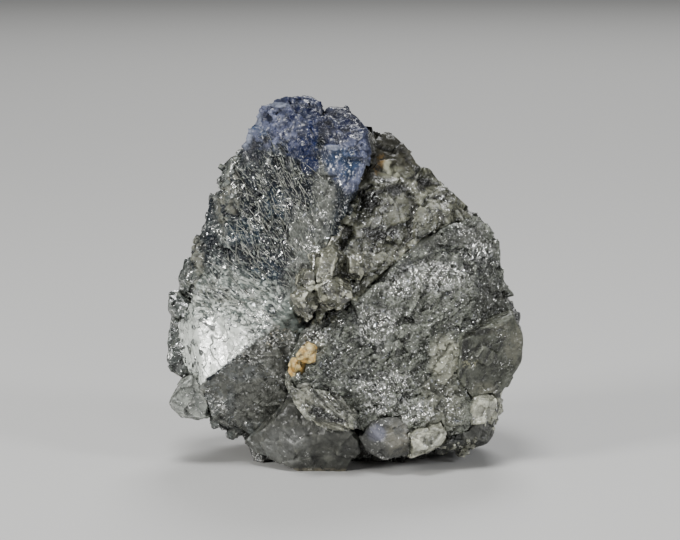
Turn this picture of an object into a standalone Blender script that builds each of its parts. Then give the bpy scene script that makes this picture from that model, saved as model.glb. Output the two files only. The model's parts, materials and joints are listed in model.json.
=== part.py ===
"""A tanzanite specimen: one broad tanzanite crystal with a blue tip, grown together with a
second, graphite-dusted crystal and a dozen smaller ones on a graphite-rich matrix.

Row frame: metres, +Z up, the specimen stands on Z = 0 with the middle of its box above the
origin, and its best side faces -Y.
Every table below is in millimetres. An outline is the crystal's edge as (x, z) seen from -Y,
and a face is (a point on it, the direction it faces), both as (x, y, z).
"""

import math
import random

import bmesh
import bpy
from mathutils import Matrix, Vector, noise

MM = 0.001
GAP = 0.3            # clearance between two pieces that grew together
FOOT = 0.0           # height of the surface that the specimen stands on

# ---------------------------------------------------------------- finishes
# name: (colour, roughness, metallic)
FINISHES = {
    "tanzanite": ((0.20, 0.23, 0.29, 1.0), 0.30, 0.0),
    "grey_crystal": ((0.19, 0.19, 0.17, 1.0), 0.38, 0.0),
    "brown_crystal": ((0.12, 0.12, 0.09, 1.0), 0.42, 0.0),
    "smoky_crystal": ((0.10, 0.11, 0.10, 1.0), 0.35, 0.0),
    "pale_grain": ((0.38, 0.38, 0.31, 1.0), 0.40, 0.0),
    "rust_grain": ((0.52, 0.33, 0.12, 1.0), 0.60, 0.0),
    "graphite": ((0.035, 0.036, 0.038, 1.0), 0.32, 0.4),
}

# ---------------------------------------------------------------- large crystals
# rings: how far back each ring of the blank lies, and its size against the outline
LARGE_CRYSTALS = {
    "tanzanite_crystal": {
        "finish": "tanzanite",
        "outline": [
            (-8.0, 2.2), (-9.6, 2.4), (-10.9, 3.4), (-11.5, 5.3), (-12.0, 6.9), (-13.3, 8.5),
            (-13.9, 10.0), (-13.7, 11.4), (-13.0, 12.8), (-12.4, 14.0), (-12.3, 15.3),
            (-12.9, 17.3), (-12.3, 18.8), (-11.6, 20.5), (-10.8, 22.2), (-9.9, 23.8),
            (-8.8, 25.6), (-8.0, 27.6), (-7.6, 28.9), (-6.8, 30.1), (-5.8, 30.9),
            (-4.2, 31.3), (-2.9, 31.0), (-2.2, 30.4), (-1.8, 29.4), (-1.1, 30.1), (-0.1, 30.1),
            (0.8, 29.5), (1.6, 28.4), (1.9, 27.2), (1.6, 25.8), (0.7, 23.8), (-0.2, 21.8),
            (-1.3, 19.8), (-2.6, 17.8), (-3.6, 16.1), (-4.3, 14.2), (-3.8, 12.2), (-4.0, 9.0),
            (-4.4, 6.0), (-6.2, 3.6),
        ],
        "rings": [(-13.0, 0.97), (-1.5, 1.0), (6.0, 0.80)],
        "faces": [
            ((-11.8, -5.5, 7.5), (-0.526, -1.0, 0.296)),     # broad striated front face
            ((-11.8, -5.5, 7.5), (0.085, -1.0, -0.41)),      # broken face under the ridge
            ((-13.4, -1.9, 14.0), (-1.0, -0.55, 0.05)),      # chamfer down the left edge
            ((-5.2, -2.9, 28.2), (-0.60, -1.0, 0.72)),       # frosted front of the left lobe
            ((-3.6, -2.2, 30.4), (-0.15, -0.8, 1.0)),        # its rounded top
            ((1.9, -6.2, 27.0), (1.0, -0.55, 0.25)),         # narrow face beside the cleft
            ((-6.0, 4.2, 12.0), (0.1, 1.0, -0.05)),          # back
            ((-6.0, 2.4, 27.0), (-0.15, 1.0, 0.45)),         # back of the tip
            ((-12.0, 2.5, 12.0), (-1.0, 0.8, 0.0)),          # back of the left edge
        ],
    },
    "side_crystal": {
        "finish": "brown_crystal",
        "outline": [
            (9.6, 8.4), (9.9, 11.2), (12.2, 12.2), (14.0, 12.8), (15.0, 10.9), (14.9, 9.3),
            (14.1, 8.0), (13.2, 6.5), (12.0, 5.6), (10.6, 6.6),
        ],
        "rings": [(-10.0, 0.97), (-1.6, 1.0), (5.0, 0.84)],
        "faces": [
            ((12.3, -5.1, 9.4), (0.60, -1.0, -0.06)),        # smooth striated front
            ((12.0, 3.6, 9.4), (0.5, 1.0, 0.1)),             # back
        ],
    },
    "grey_crystal": {
        "finish": "grey_crystal",
        "outline": [
            (-4.2, 8.0), (-4.3, 9.6), (-3.4, 11.4), (-2.2, 12.8), (0.4, 14.0), (3.0, 16.2),
            (5.2, 18.1), (8.4, 20.2), (11.2, 21.0), (12.6, 19.5), (13.2, 17.6), (13.7, 15.6),
            (14.3, 13.2), (13.9, 10.6), (13.2, 8.0), (12.2, 5.0), (10.4, 3.5), (8.0, 3.1),
            (5.0, 3.6), (2.2, 3.8), (0.2, 4.4), (-1.8, 5.6), (-3.6, 7.0),
        ],
        "rings": [(-13.0, 0.98), (-2.0, 1.0), (9.0, 0.78)],
        "faces": [
            ((0.0, -8.3, 12.0), (0.33, -1.0, 0.22)),         # broad granular front face
            ((11.5, -3.95, 14.5), (0.95, -1.0, 0.12)),       # dark facet at the right
            ((3.0, -8.5, 6.5), (0.06, -1.0, -0.42)),         # lower front face
            ((2.5, -7.0, 15.5), (-0.55, -1.0, 0.9)),         # bevel beside the cleft
            ((11.2, -1.8, 20.4), (0.4, -0.9, 1.0)),          # upper right shoulder
            ((4.0, 6.6, 12.0), (-0.05, 1.0, 0.05)),          # back
            ((12.0, 3.2, 12.0), (1.0, 0.9, 0.0)),            # back of the right edge
        ],
    },
    "upper_brown_crystal": {
        "finish": "brown_crystal",
        "outline": [
            (0.9, 25.6), (1.7, 27.9), (2.4, 28.6), (3.9, 28.3), (5.0, 26.9), (6.2, 25.5),
            (7.5, 24.3), (8.7, 23.0), (10.0, 21.8), (11.2, 21.2), (12.2, 19.8), (11.8, 17.6),
            (8.0, 15.4), (4.4, 13.2), (1.0, 12.2), (-2.0, 13.4), (-2.9, 15.6), (-1.2, 18.8),
            (0.4, 22.0),
        ],
        "rings": [(-11.0, 0.97), (-0.5, 1.0), (7.0, 0.80)],
        "faces": [
            ((1.8, -4.9, 19.5), (0.24, -1.0, 0.34)),         # rough front
            ((4.2, -1.2, 26.6), (0.9, -0.7, 0.8)),           # upper right edge
            ((9.5, -0.6, 21.4), (0.7, -0.6, 1.0)),           # shoulder
            ((3.0, 5.0, 18.0), (0.05, 1.0, 0.15)),           # back
        ],
    },
    "smoky_foot_crystal": {
        "finish": "smoky_crystal",
        "outline": [
            (-8.3, 2.0), (-6.4, 3.6), (-4.6, 5.8), (-2.9, 5.9), (-1.6, 5.2), (0.2, 4.0),
            (1.0, 2.9), (1.1, 1.9), (0.4, 0.8), (-0.7, -0.5), (-2.6, -0.4), (-4.4, 0.5),
            (-6.4, 1.2),
        ],
        "rings": [(-10.0, 0.95), (-4.2, 1.0), (3.0, 0.88)],
        "faces": [
            ((-3.4, -7.2, 4.0), (-0.12, -1.0, 0.12)),        # frosted front
            ((-3.0, -6.9, 1.6), (0.05, -1.0, -0.5)),         # rolls under at the foot
            ((-6.5, -5.2, 2.0), (-0.8, -1.0, -0.3)),         # left edge
        ],
    },
    "fan_plate": {
        "finish": "grey_crystal",
        "outline": [
            (-4.6, 8.2), (-4.0, 9.1), (-2.4, 8.6), (-0.4, 7.1), (0.6, 5.5), (0.4, 4.5),
            (-0.9, 4.1), (-2.2, 4.7), (-3.6, 6.3), (-4.5, 7.3),
        ],
        "rings": [(-12.0, 0.96), (-8.6, 1.0), (-5.0, 1.0)],
        "faces": [
            ((-2.0, -9.7, 6.2), (0.18, -1.0, 0.20)),         # front
            ((-2.0, -9.2, 4.6), (-0.2, -1.0, -0.9)),         # thin lower lip
        ],
    },
    "right_foot_crystal": {
        "finish": "smoky_crystal",
        "outline": [
            (7.4, 3.2), (8.6, 4.9), (10.8, 5.9), (13.0, 6.0), (13.4, 4.6), (12.8, 2.9),
            (11.8, 1.7), (9.8, 1.0), (8.0, 1.1),
        ],
        "rings": [(-9.0, 0.94), (-3.0, 1.0), (5.0, 0.9)],
        "faces": [
            ((10.2, -5.9, 3.6), (0.3, -1.0, -0.3)),          # front
            ((12.6, -3.4, 3.6), (1.0, -0.6, -0.3)),          # right
            ((10.5, -3.6, 1.6), (0.3, -0.5, -1.0)),          # underside
        ],
    },
    "lilac_crystal": {
        "finish": "tanzanite",
        "outline": [
            (1.4, 3.2), (2.2, 4.4), (4.0, 5.0), (5.2, 4.3), (5.9, 2.9), (5.0, 1.8), (3.4, 1.5),
            (2.0, 2.1),
        ],
        "rings": [(-11.0, 0.95), (-6.8, 1.0), (-2.0, 0.9)],
        "faces": [
            ((3.6, -8.6, 3.4), (0.1, -1.0, 0.35)),           # front
            ((3.0, -8.2, 2.4), (-0.7, -1.0, -0.5)),          # lower left
            ((4.4, -8.2, 2.2), (0.5, -1.0, -0.9)),           # lower right
        ],
    },
}

# ---------------------------------------------------------------- small grains
# centre, half sizes, tilt about Y in degrees, the seed of its facets, and its finish
SMALL_GRAINS = {
    "cleft_grain_upper": ((-1.2, -6.6, 19.9), (0.50, 0.9, 1.30), 28, 3, "pale_grain"),
    "cleft_grain_large": ((-1.3, -7.3, 18.1), (1.35, 1.5, 1.15), -20, 5, "pale_grain"),
    "cleft_grain_left": ((-3.1, -7.6, 16.4), (0.80, 1.1, 0.90), 10, 8, "pale_grain"),
    "cleft_grain_lower": ((-3.3, -8.2, 14.9), (1.05, 1.3, 1.15), 35, 12, "pale_grain"),
    "cleft_grain_right": ((-0.9, -7.9, 15.5), (1.40, 1.5, 1.25), -12, 19, "pale_grain"),
    "cleft_blade": ((1.0, -6.8, 17.6), (0.95, 1.3, 0.85), 42, 23, "brown_crystal"),
    "rust_grain_upper": ((-3.1, -9.5, 10.6), (0.60, 0.7, 0.85), 34, 31, "rust_grain"),
    "rust_grain_lower": ((-3.9, -9.2, 9.3), (0.50, 0.8, 0.75), 8, 37, "rust_grain"),
    "foot_grain_pale": ((6.8, -7.2, 3.0), (1.65, 1.6, 1.05), -24, 41, "pale_grain"),
    "foot_grain_right": ((11.5, -5.0, 5.3), (1.30, 1.4, 1.00), -10, 43, "pale_grain"),
    "left_edge_grain_top": ((-13.1, 1.6, 15.3), (0.90, 1.5, 1.50), 12, 47, "smoky_crystal"),
    "left_edge_grain_middle": ((-13.5, 0.9, 12.8), (1.35, 1.9, 1.45), -6, 53, "pale_grain"),
    "left_edge_grain_low": ((-13.8, 0.2, 9.4), (1.25, 2.2, 2.5), 5, 59, "pale_grain"),
    "left_foot_grain": ((-12.8, -2.4, 5.6), (1.80, 2.2, 1.70), -38, 61, "pale_grain"),
    "shoulder_grain": ((-9.1, 0.4, 24.4), (1.20, 1.8, 1.70), 32, 67, "smoky_crystal"),
    "graphite_knob": ((1.5, -1.6, 27.6), (0.85, 1.4, 1.15), -28, 71, "graphite"),
}
GRAIN_FACETS = 11            # facets cut on each grain after its six blank sides
GRAIN_FACET_DEPTH = (0.62, 0.90)

# ---------------------------------------------------------------- matrix
MATRIX = {
    "finish": "graphite",
    "centre": (0.2, 1.6, 10.2),
    "half_sizes": (13.6, 8.2, 12.8),
    "subdivisions": 4,
    "lump_size": 6.5,        # one lump of the rough surface spans about this much
    "lump_height": 0.17,     # as a share of the radius
    "seed_offset": (11.0, 4.0, 7.0),
    "faces": [
        ((0.0, -5.2, 10.0), (0.05, -1.0, 0.1)),              # kept behind the front crystals
        ((0.0, -3.6, 2.6), (0.0, -1.0, -0.55)),              # front underside
        ((-9.5, 0.0, 3.6), (-1.0, 0.0, -0.75)),              # left underside
        ((4.2, 0.0, 0.0), (0.2, 0.0, -1.0)),                 # right underside, near the foot
        ((10.4, 0.0, 3.0), (0.9, 0.1, -1.0)),                # right underside, outer part
        ((0.0, 8.9, 9.0), (0.1, 1.0, 0.15)),                 # back
        ((10.5, 0.0, 19.0), (1.0, 0.0, 0.85)),               # upper right
        ((-9.5, 0.0, 20.5), (-1.0, 0.0, 0.75)),              # upper left
    ],
}


def metres(point):
    return Vector(point) * MM


def finish(name):
    """The material of that name, made once."""
    found = bpy.data.materials.get(name)
    if found:
        return found
    colour, roughness, metallic = FINISHES[name]
    material = bpy.data.materials.new(name)
    material.use_nodes = True
    shader = material.node_tree.nodes["Principled BSDF"]
    shader.inputs["Base Color"].default_value = colour
    shader.inputs["Roughness"].default_value = roughness
    shader.inputs["Metallic"].default_value = metallic
    return material


def cut(mesh, point, facing):
    """Removes what lies past the plane through point that faces that way, and closes the cut."""
    everything = mesh.verts[:] + mesh.edges[:] + mesh.faces[:]
    bmesh.ops.bisect_plane(
        mesh, geom=everything, dist=1e-7, plane_co=point, plane_no=facing, clear_outer=True
    )
    rim = [edge for edge in mesh.edges if edge.is_boundary]
    if rim:
        bmesh.ops.holes_fill(mesh, edges=rim, sides=0)


def cut_faces(mesh, faces, grow):
    """Cuts each face of a crystal, moved outwards by grow millimetres."""
    for point, facing in faces:
        outward = Vector(facing).normalized()
        cut(mesh, metres(Vector(point) + outward * grow), outward)


def stand_on_foot(mesh):
    cut(mesh, metres((0.0, 0.0, FOOT)), Vector((0.0, 0.0, -1.0)))


def offset_outline(outline, grow):
    """The outline with every edge moved outwards by grow. It runs clockwise, seen from -Y."""
    moved = []
    for i, corner in enumerate(outline):
        before = Vector(outline[i - 1])
        here = Vector(corner)
        after = Vector(outline[(i + 1) % len(outline)])
        into = (here - before).normalized()
        out_of = (after - here).normalized()
        side_a = Vector((-into.y, into.x))
        side_b = Vector((-out_of.y, out_of.x))
        middle = (side_a + side_b).normalized()
        reach = grow / max(0.5, middle.dot(side_a))
        moved.append(here + middle * reach)
    return moved


def crystal_mesh(design, grow=0.0):
    """A large crystal: its outline lofted through its rings, then cut to its faces."""
    outline = offset_outline(design["outline"], grow)
    middle = sum(outline, Vector((0.0, 0.0))) / len(outline)
    mesh = bmesh.new()
    rings = []
    for depth, size in design["rings"]:
        ring = []
        for corner in outline:
            place = middle + (corner - middle) * size
            ring.append(mesh.verts.new(metres((place.x, depth, place.y))))
        rings.append(ring)
    for front, back in zip(rings, rings[1:]):
        for i in range(len(outline)):
            j = (i + 1) % len(outline)
            mesh.faces.new((front[i], front[j], back[j], back[i]))
    mesh.faces.new(rings[0][::-1])
    mesh.faces.new(rings[-1])
    cut_faces(mesh, design["faces"], grow)
    stand_on_foot(mesh)
    bmesh.ops.recalc_face_normals(mesh, faces=mesh.faces)
    return mesh


def grain_mesh(design, grow=0.0):
    """A small grain: a block with facets cut all round it, tilted about Y."""
    centre, half_sizes, tilt, seed, _ = design
    chance = random.Random(seed)
    mesh = bmesh.new()
    bmesh.ops.create_cube(mesh, size=2.0)
    for _ in range(GRAIN_FACETS):
        facing = Vector([chance.gauss(0.0, 1.0) for _ in range(3)]).normalized()
        reach = chance.uniform(*GRAIN_FACET_DEPTH) * (1.0 + 0.45 * max(map(abs, facing)) ** 2)
        cut(mesh, facing * reach, facing)
    sizes = [half + grow for half in half_sizes]
    bmesh.ops.scale(mesh, vec=Vector(sizes) * MM, verts=mesh.verts)
    turn = Matrix.Rotation(math.radians(tilt), 3, "Y")
    bmesh.ops.rotate(mesh, cent=(0, 0, 0), matrix=turn, verts=mesh.verts)
    bmesh.ops.translate(mesh, vec=metres(centre), verts=mesh.verts)
    stand_on_foot(mesh)
    bmesh.ops.recalc_face_normals(mesh, faces=mesh.faces)
    return mesh


def matrix_mesh():
    """The rough rock that everything grew on, flattened where it is broken."""
    mesh = bmesh.new()
    bmesh.ops.create_icosphere(mesh, subdivisions=MATRIX["subdivisions"], radius=1.0)
    half_sizes = Vector(MATRIX["half_sizes"])
    for vert in mesh.verts:
        place = vert.co * half_sizes
        lump = noise.fractal(
            (place + Vector(MATRIX["seed_offset"])) / MATRIX["lump_size"], 0.9, 2.1, 3
        )
        vert.co = metres(place * (1.0 + MATRIX["lump_height"] * lump) + Vector(MATRIX["centre"]))
    cut_faces(mesh, MATRIX["faces"], 0.0)
    stand_on_foot(mesh)
    bmesh.ops.recalc_face_normals(mesh, faces=mesh.faces)
    return mesh


def new_object(name, mesh, finish_name=None):
    """An object of that mesh. One with no finish is a cutter, which isn't rendered."""
    data = bpy.data.meshes.new(name)
    mesh.to_mesh(data)
    mesh.free()
    made = bpy.data.objects.new(name, data)
    bpy.context.scene.collection.objects.link(made)
    if finish_name:
        data.materials.append(finish(finish_name))
    else:
        made.hide_render = True
        made.display_type = "WIRE"
    return made


def subtract(target, cutter):
    boolean = target.modifiers.new("less " + cutter.name, "BOOLEAN")
    boolean.operation = "DIFFERENCE"
    boolean.solver = "EXACT"
    boolean.object = cutter


def boxes_meet(a, b):
    """Whether two objects' boxes come within the gap of each other."""
    for axis in range(3):
        a_low, a_high = (f(corner[axis] for corner in a.bound_box) for f in (min, max))
        b_low, b_high = (f(corner[axis] for corner in b.bound_box) for f in (min, max))
        if a_high < b_low or b_high < a_low:
            return False
    return True


def keep_largest_body(target):
    """Applies the cuts, then drops the crumbs that they leave loose."""
    graph = bpy.context.evaluated_depsgraph_get()
    solid = bpy.data.meshes.new_from_object(target.evaluated_get(graph))
    target.modifiers.clear()
    target.data = solid
    mesh = bmesh.new()
    mesh.from_mesh(solid)
    left = set(mesh.verts)
    bodies = []
    while left:
        body = {left.pop()}
        edge_of_body = list(body)
        while edge_of_body:
            vert = edge_of_body.pop()
            for edge in vert.link_edges:
                other = edge.other_vert(vert)
                if other in left:
                    left.remove(other)
                    body.add(other)
                    edge_of_body.append(other)
        bodies.append(body)
    bodies.sort(key=len)
    for crumb in bodies[:-1]:
        bmesh.ops.delete(mesh, geom=list(crumb), context="VERTS")
    mesh.to_mesh(solid)
    mesh.free()


def centre_over_origin(pieces):
    """Moves every piece so that the middle of their box is above the origin."""
    corners = [corner for piece in pieces for corner in piece.bound_box]
    shift = Vector((0.0, 0.0, 0.0))
    for axis in (0, 1):
        along = [corner[axis] for corner in corners]
        shift[axis] = -(min(along) + max(along)) / 2
    for piece in pieces:
        piece.data.transform(Matrix.Translation(shift))


def main():
    for leftover in list(bpy.data.objects):
        bpy.data.objects.remove(leftover)

    # Earlier pieces keep their whole shape, and later ones are cut to fit round them.
    builders = [
        (name, crystal_mesh, design, design["finish"]) for name, design in LARGE_CRYSTALS.items()
    ]
    builders[1:1] = [
        (name, grain_mesh, design, design[-1]) for name, design in SMALL_GRAINS.items()
    ]
    pieces = []
    cutters = []
    for name, build, design, finish_name in builders:
        piece = new_object(name, build(design), finish_name)
        for cutter in cutters:
            if boxes_meet(piece, cutter):
                subtract(piece, cutter)
        keep_largest_body(piece)
        pieces.append(piece)
        cutters.append(new_object("room_for_" + name, build(design, GAP)))

    rock = new_object("graphite_matrix", matrix_mesh(), MATRIX["finish"])
    for cutter in cutters:
        if boxes_meet(rock, cutter):
            subtract(rock, cutter)
    keep_largest_body(rock)
    centre_over_origin(pieces + [rock])


main()
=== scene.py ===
import json
import math
import random

import bpy
import numpy as np
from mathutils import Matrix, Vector


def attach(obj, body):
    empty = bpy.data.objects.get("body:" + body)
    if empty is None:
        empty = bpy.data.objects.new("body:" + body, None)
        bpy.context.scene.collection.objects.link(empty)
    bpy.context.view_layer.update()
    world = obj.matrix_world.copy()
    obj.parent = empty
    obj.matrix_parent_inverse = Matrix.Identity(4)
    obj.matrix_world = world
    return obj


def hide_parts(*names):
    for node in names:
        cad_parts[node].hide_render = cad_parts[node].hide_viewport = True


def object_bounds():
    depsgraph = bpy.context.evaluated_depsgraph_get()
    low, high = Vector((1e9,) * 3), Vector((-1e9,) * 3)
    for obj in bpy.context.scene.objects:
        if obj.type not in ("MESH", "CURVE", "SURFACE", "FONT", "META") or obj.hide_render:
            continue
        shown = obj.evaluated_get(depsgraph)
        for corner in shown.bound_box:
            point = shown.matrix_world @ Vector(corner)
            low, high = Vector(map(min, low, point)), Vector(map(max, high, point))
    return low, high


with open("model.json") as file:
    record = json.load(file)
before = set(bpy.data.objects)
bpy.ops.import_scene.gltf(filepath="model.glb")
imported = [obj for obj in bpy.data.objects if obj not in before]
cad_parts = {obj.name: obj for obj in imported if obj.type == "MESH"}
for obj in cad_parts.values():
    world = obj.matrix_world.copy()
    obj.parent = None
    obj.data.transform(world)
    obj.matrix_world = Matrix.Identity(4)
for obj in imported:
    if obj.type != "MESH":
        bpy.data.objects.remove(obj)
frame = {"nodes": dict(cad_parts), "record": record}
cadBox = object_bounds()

mm = 0.001               # the tables below are in millimetres, Blender works in metres


# modelling helpers, each a step that could be done by hand

def choose(piece):       # makes it the only selected object, and the active one
    bpy.ops.object.select_all(action="DESELECT")
    piece.select_set(True)
    bpy.context.view_layer.objects.active = piece


def useModifier(piece, kind, **settings):
    choose(piece)
    step = piece.modifiers.new(kind.title(), kind)
    for name, value in settings.items():
        setattr(step, name, value)
    bpy.ops.object.modifier_apply(modifier=step.name)


def copyOfNode(node, name):
    piece = bpy.data.objects.new(name, frame["nodes"][node].data.copy())
    piece.data.name = name
    piece.data.materials.clear()
    bpy.context.scene.collection.objects.link(piece)
    choose(piece)
    bpy.ops.object.mode_set(mode="EDIT")
    bpy.ops.mesh.select_all(action="SELECT")
    bpy.ops.mesh.remove_doubles(threshold=0.001 * mm)
    bpy.ops.object.mode_set(mode="OBJECT")
    return piece


def readAll(items, attribute, width):   # one property of every point or face, a row for each
    found = np.empty(len(items) * width, np.float32)
    items.foreach_get(attribute, found)
    return found.reshape(-1, width)


def places(piece):       # the mesh's points, in millimetres
    return readAll(piece.data.vertices, "co", 3) / mm


def facings(piece):      # the normals at the mesh's points
    return readAll(piece.data.vertex_normals, "vector", 3)


def setPlaces(piece, points):
    piece.data.vertices.foreach_set("co", (points * mm).astype(np.float32).ravel())
    piece.data.update()


def nearness(points, centre, reach):    # 1 at the centre of an ellipsoid, 0 on it and outside
    away = (points - np.array(centre)) / np.array(reach)
    return np.clip(1.0 - np.linalg.norm(away, axis=1), 0.0, 1.0)


def ease(value, low, high):
    share = np.clip((value - low) / (high - low), 0.0, 1.0)
    return share * share * (3.0 - 2.0 * share)


def addWeights(piece, name, weights):   # a vertex group that holds back or lets through a relief
    group = piece.vertex_groups.new(name=name)
    for level in range(1, 11):
        chosen = np.nonzero(np.round(weights * 10) == level)[0]
        group.add([int(i) for i in chosen], level / 10.0, "REPLACE")


def streakGuide(angle, length, width):  # an empty along the streaks, which stretches a texture
    guide = bpy.data.objects.new("streak guide", None)
    guide.rotation_euler = (0.0, math.radians(angle), 0.0)
    guide.scale = (length * mm, width * mm, width * mm)
    bpy.context.scene.collection.objects.link(guide)
    bpy.context.view_layer.update()
    return guide


def roughen(piece, relief):
    texture = bpy.data.textures.new("relief", "CLOUDS")
    texture.noise_basis = "ORIGINAL_PERLIN"
    texture.noise_depth = 2
    settings = {"strength": relief["height"] * mm, "mid_level": 0.5}
    if "streak" in relief:
        texture.noise_scale = 1.0
        guide = streakGuide(*relief["streak"])
        settings.update(texture_coords="OBJECT", texture_coords_object=guide)
    else:
        texture.noise_scale = relief["size"] * mm
    if "zone" in relief:
        settings["vertex_group"] = relief["zone"]
        settings["invert_vertex_group"] = relief.get("outside", False)
    useModifier(piece, "DISPLACE", texture=texture, **settings)
    bpy.data.textures.remove(texture)
    if "streak" in relief:
        bpy.data.objects.remove(guide)


def alongStreaks(points, angle, length, width):    # coordinates measured along and across streaks
    turn = math.radians(angle)
    along = points[:, 0] * math.cos(turn) - points[:, 2] * math.sin(turn)
    across = points[:, 0] * math.sin(turn) + points[:, 2] * math.cos(turn)
    return np.stack([along / length, points[:, 1] / width, across / width], axis=1)


def nearestSeeds(points, chance):       # for each point the nearest of one random seed per cell
    local = points - points.min(axis=0) + 1.5
    cells = np.floor(local).astype(int)
    jitter = chance.rand(*(cells.max(axis=0) + 2), 3)
    best = np.full(len(local), 1e9)
    offset = np.zeros_like(local)
    which = np.zeros_like(cells)
    for step in np.ndindex(3, 3, 3):
        cell = cells + np.array(step) - 1
        away = local - cell - jitter[cell[:, 0], cell[:, 1], cell[:, 2]]
        distance = (away * away).sum(axis=1)
        closer = distance < best
        best[closer], offset[closer], which[closer] = distance[closer], away[closer], cell[closer]
    return offset, which, jitter.shape[:3]


def fracture(piece, relief, zones):     # flat broken faces, each with its own tilt and height
    chance = np.random.RandomState(relief["seed"])
    points = places(piece)
    size = relief["size"]
    angle, stretch = relief.get("streak", (0, 1.0))
    offset, which, shape = nearestSeeds(alongStreaks(points, angle, size * stretch, size), chance)
    tilts = chance.normal(0.0, relief["tilt"], (*shape, 3))[which[:, 0], which[:, 1], which[:, 2]]
    steps = chance.uniform(-0.5, 0.5, shape)[which[:, 0], which[:, 1], which[:, 2]]
    lift = size * (tilts * offset).sum(axis=1) + relief["step"] * steps
    if "zone" in relief:
        held = zones[relief["zone"]]
        lift *= 1.0 - held if relief.get("outside") else held
    lift = np.clip(lift, -0.5 * size, 0.5 * size)
    setPlaces(piece, points + facings(piece) * lift[:, None])


def setHollow(mesh, values):            # an attribute, over 0.5 in a hollow and under it on an edge, for painted shade and painted edge highlight
    hollow = mesh.attributes.new("hollow", "FLOAT", "POINT")
    hollow.data.foreach_set("value", values.astype(np.float32))


def markHollows(piece, rounds, reach):  # by how far each point moves as the mesh is smoothed
    mesh = piece.data
    points = places(piece)
    ends = np.empty(len(mesh.edges) * 2, np.int64)
    mesh.edges.foreach_get("vertices", ends)
    ends = ends.reshape(-1, 2)
    both = np.concatenate([ends, ends[:, ::-1]])
    count = np.bincount(both[:, 0], minlength=len(points)).clip(1)
    calm = points.copy()
    for _ in range(rounds):
        around = [np.bincount(both[:, 0], calm[both[:, 1], axis], len(points)) for axis in range(3)]
        calm = 0.5 * calm + 0.5 * np.stack(around, axis=1) / count[:, None]
    depth = ((calm - points) * facings(piece)).sum(axis=1)
    setHollow(mesh, np.clip(0.5 + 0.5 * depth / reach, 0.0, 1.0))


def keepInBox(piece):    # halves what stands out of the frame's box, and stops it at the floor
    points = places(piece)
    low, high = (np.array(list(corner)) / mm for corner in cadBox)
    inside = points.clip(low, high)
    points = inside + 0.5 * (points - inside)
    points[:, 2] = points[:, 2].clip(min=0.0)
    setPlaces(piece, points)


# shader helpers

def feed(tree, node, feeds):            # a link where a value comes from a node, else a constant
    for socket, value in feeds.items():
        if isinstance(value, bpy.types.NodeSocket):
            tree.links.new(value, node.inputs[socket])
        else:
            node.inputs[socket].default_value = value


def addNode(tree, kind, feeds, **settings):
    node = tree.nodes.new("ShaderNode" + kind)
    for name, value in settings.items():
        setattr(node, name, value)
    feed(tree, node, feeds)
    return node


def maths(tree, operation, first, second=0.0):
    return addNode(tree, "Math", {0: first, 1: second}, operation=operation).outputs[0]


def vectorMaths(tree, operation, first, second):
    node = addNode(tree, "VectorMath", {0: first, 1: second}, operation=operation)
    return node.outputs["Value" if operation in ("DOT_PRODUCT", "LENGTH") else "Vector"]


def scaled(tree, vector, amount):
    feeds = {0: vector, "Scale": amount}
    return addNode(tree, "VectorMath", feeds, operation="SCALE").outputs["Vector"]


def noise(tree, place, scale, detail, roughness=0.5, distortion=0.0, output="Fac"):
    feeds = {"Vector": place, "Scale": scale, "Detail": detail, "Roughness": roughness,
             "Distortion": distortion}
    return addNode(tree, "TexNoise", feeds).outputs[output]


def wandering(tree, place, scale, detail, amount):      # the place, shifted a little by a noise
    shift = noise(tree, place, scale, detail, output="Color")
    shift = scaled(tree, vectorMaths(tree, "SUBTRACT", shift, (0.5, 0.5, 0.5)), amount)
    return vectorMaths(tree, "ADD", place, shift)


def rise(tree, value, low, high, start=0.0, end=1.0, kind="SMOOTHSTEP"):
    feeds = {"Value": value, "From Min": low, "From Max": high, "To Min": start, "To Max": end}
    return addNode(tree, "MapRange", feeds, interpolation_type=kind).outputs["Result"]


def blendColour(tree, mask, under, over):
    return addNode(tree, "Mix", {0: mask, 6: under, 7: over}, data_type="RGBA").outputs[2]


def blendValue(tree, mask, under, over):
    return addNode(tree, "Mix", {0: mask, 2: under, 3: over}, data_type="FLOAT").outputs[0]


def newGroup(name, inputs, outputs):
    group = bpy.data.node_groups.new(name, "ShaderNodeTree")
    for socket, value in inputs.items():
        kind = "NodeSocketFloat" if isinstance(value, float) else "NodeSocketVector"
        made = group.interface.new_socket(name=socket, in_out="INPUT", socket_type=kind)
        made.default_value = value
    for socket in outputs:
        group.interface.new_socket(name=socket, in_out="OUTPUT", socket_type="NodeSocketFloat")
    return group, group.nodes.new("NodeGroupInput").outputs, group.nodes.new("NodeGroupOutput")


def buildSpotGroup():    # an ellipsoid with a ragged, soft edge
    inputs = {"Place": (0, 0, 0), "Centre": (0, 0, 0), "Reach": (1, 1, 1), "Ragged": 0.5, "Soft": 0.4}
    group, given, result = newGroup("stain spot", inputs, ["Mask"])
    away = vectorMaths(group, "SUBTRACT", given["Place"], given["Centre"])
    away = vectorMaths(group, "DIVIDE", away, given["Reach"])
    radius = vectorMaths(group, "LENGTH", away, (0, 0, 0))
    wander = maths(group, "SUBTRACT", noise(group, given["Place"], scale=1.3, detail=5.0), 0.5)
    radius = maths(group, "ADD", radius, maths(group, "MULTIPLY", wander, given["Ragged"]))
    inner = maths(group, "SUBTRACT", 1.0, given["Soft"])
    outer = maths(group, "ADD", 1.0, given["Soft"])
    feed(group, result, {"Mask": rise(group, radius, inner, outer, 1.0, 0.0)})
    return group


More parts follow.
